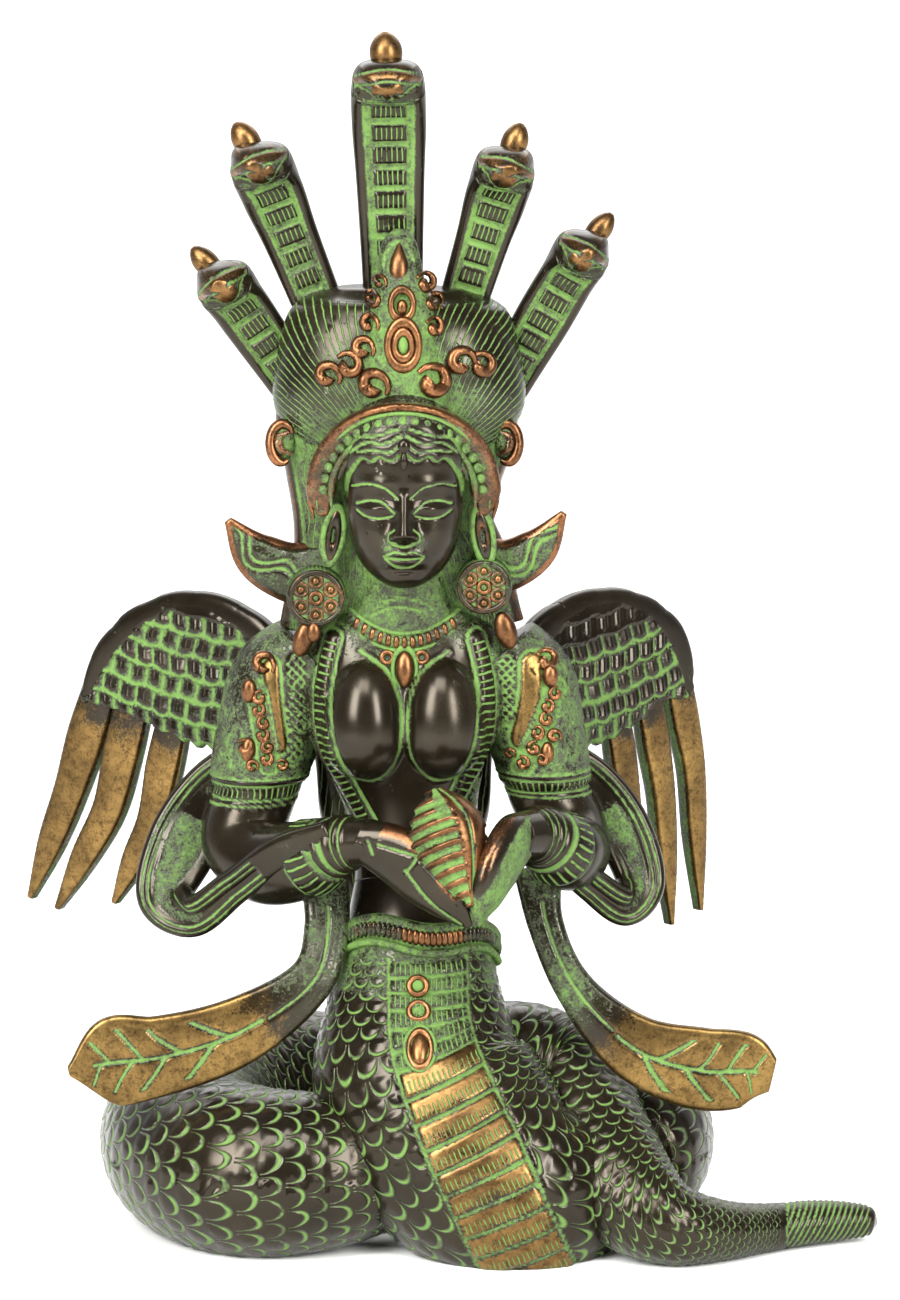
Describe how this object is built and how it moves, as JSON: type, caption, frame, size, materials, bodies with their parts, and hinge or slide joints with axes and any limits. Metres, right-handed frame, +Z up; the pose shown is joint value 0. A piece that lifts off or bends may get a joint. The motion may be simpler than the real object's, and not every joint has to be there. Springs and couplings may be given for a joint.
{
  "type": "naga kanya statue",
  "caption": "Standing figure of a winged serpent maiden rising from her own coiled tail, holding a shell under a fan of cobra hoods; one casting that rests on its coil.",
  "frame": {"origin": "middle of the bounding box's underside, on the ground under the coil", "axes": "+Z up along the figure, -Y the way she faces, +X to the viewer's right, where the tail's end points"},
  "size_m": [0.2386, 0.1392, 0.3296],
  "materials": {
    "patinated_brass": "dark brown patina polished on the raised forms, bright green verdigris left in every recess and cut line, rubbed copper and brass on the edges, feathers, scarf ends and belly plates"
  },
  "bodies": {
    "root": {"naga_kanya": "patinated_brass"}
  },
  "joints": []
}
